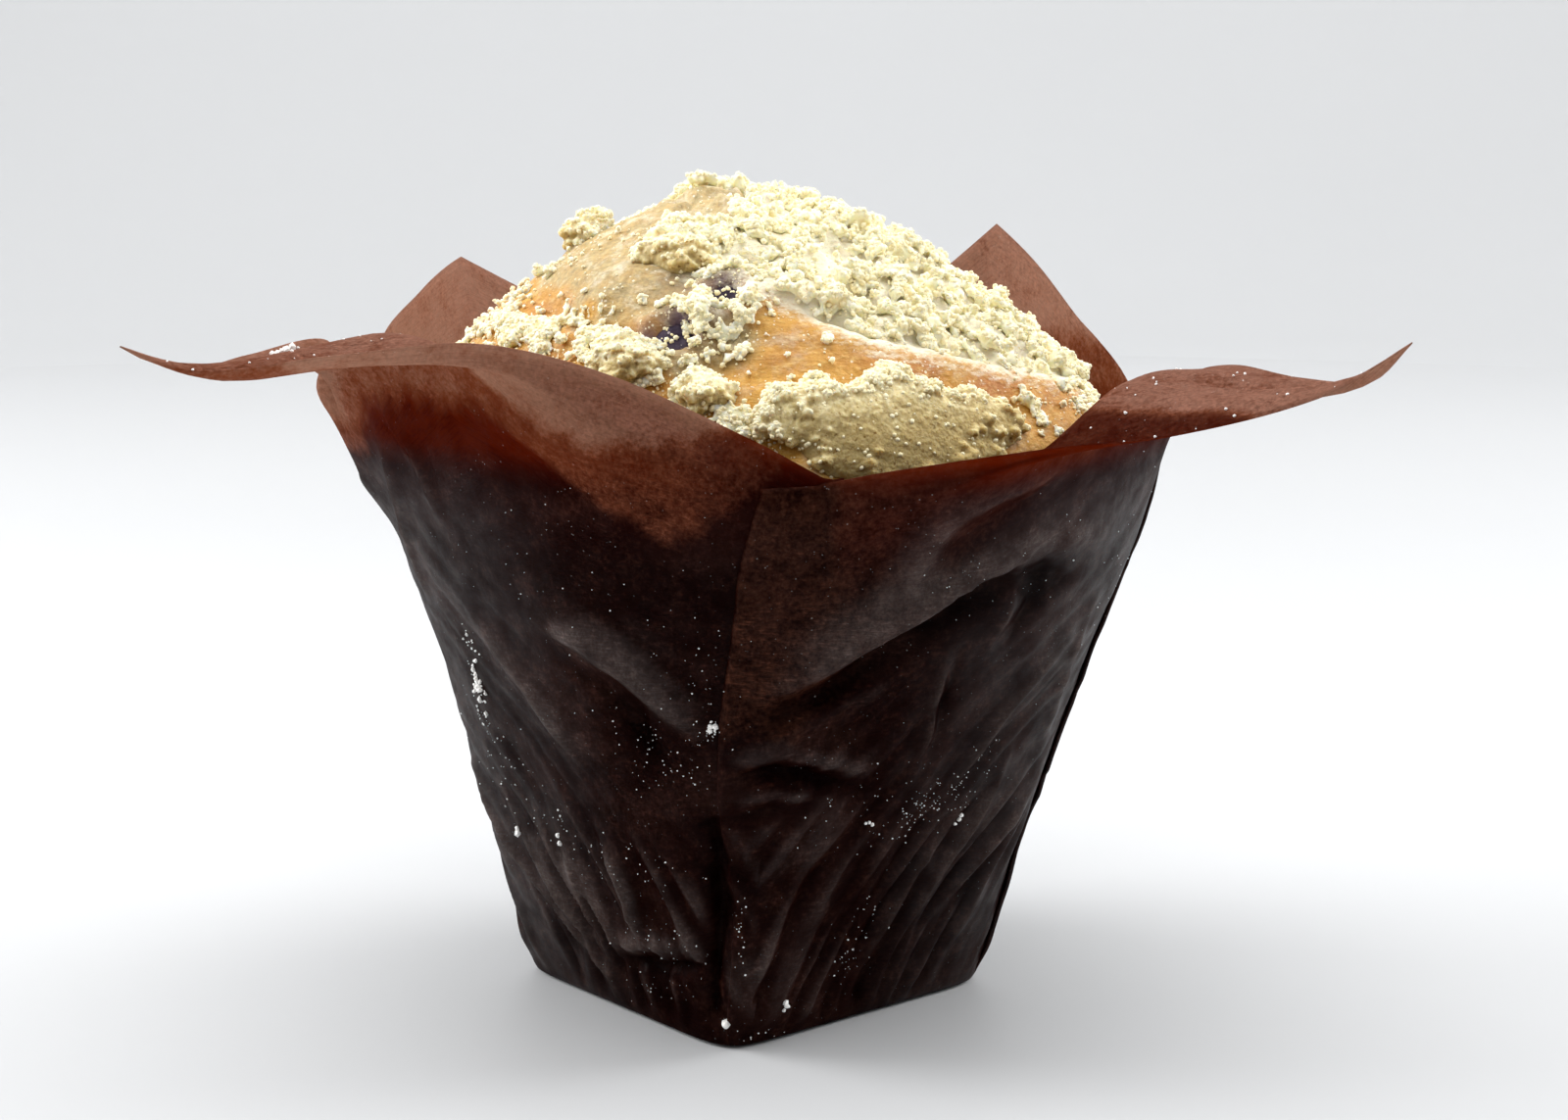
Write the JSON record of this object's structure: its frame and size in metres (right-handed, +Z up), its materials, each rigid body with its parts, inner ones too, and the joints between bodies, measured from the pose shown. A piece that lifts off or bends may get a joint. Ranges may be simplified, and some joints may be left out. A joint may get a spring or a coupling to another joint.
{
  "type": "muffin",
  "caption": "Crumb-topped fruit muffin in a tulip-shaped baking wrap of dark greaseproof paper, with two corners of the sheet bent outwards like petals.",
  "frame": {"origin": "middle of the foot, on the surface that the muffin stands on", "axes": "+Z up; the front pleat of the wrap faces -Y; +X points to the right of that pleat"},
  "size_m": [0.1132, 0.1009, 0.0875],
  "materials": {
    "wrap_paper": "satin",
    "cake_crust": "matte",
    "streusel": "matte",
    "berry_skin": "satin"
  },
  "bodies": {
    "root": {"paper_wrap": "wrap_paper", "muffin_body": "cake_crust", "streusel_front_slab": "streusel", "streusel_front_left": "streusel", "streusel_front_small": "streusel", "streusel_top_left": "streusel", "streusel_top_front": "streusel", "streusel_back": "streusel", "blueberry_upper": "berry_skin", "blueberry_lower": "berry_skin"}
  },
  "joints": []
}
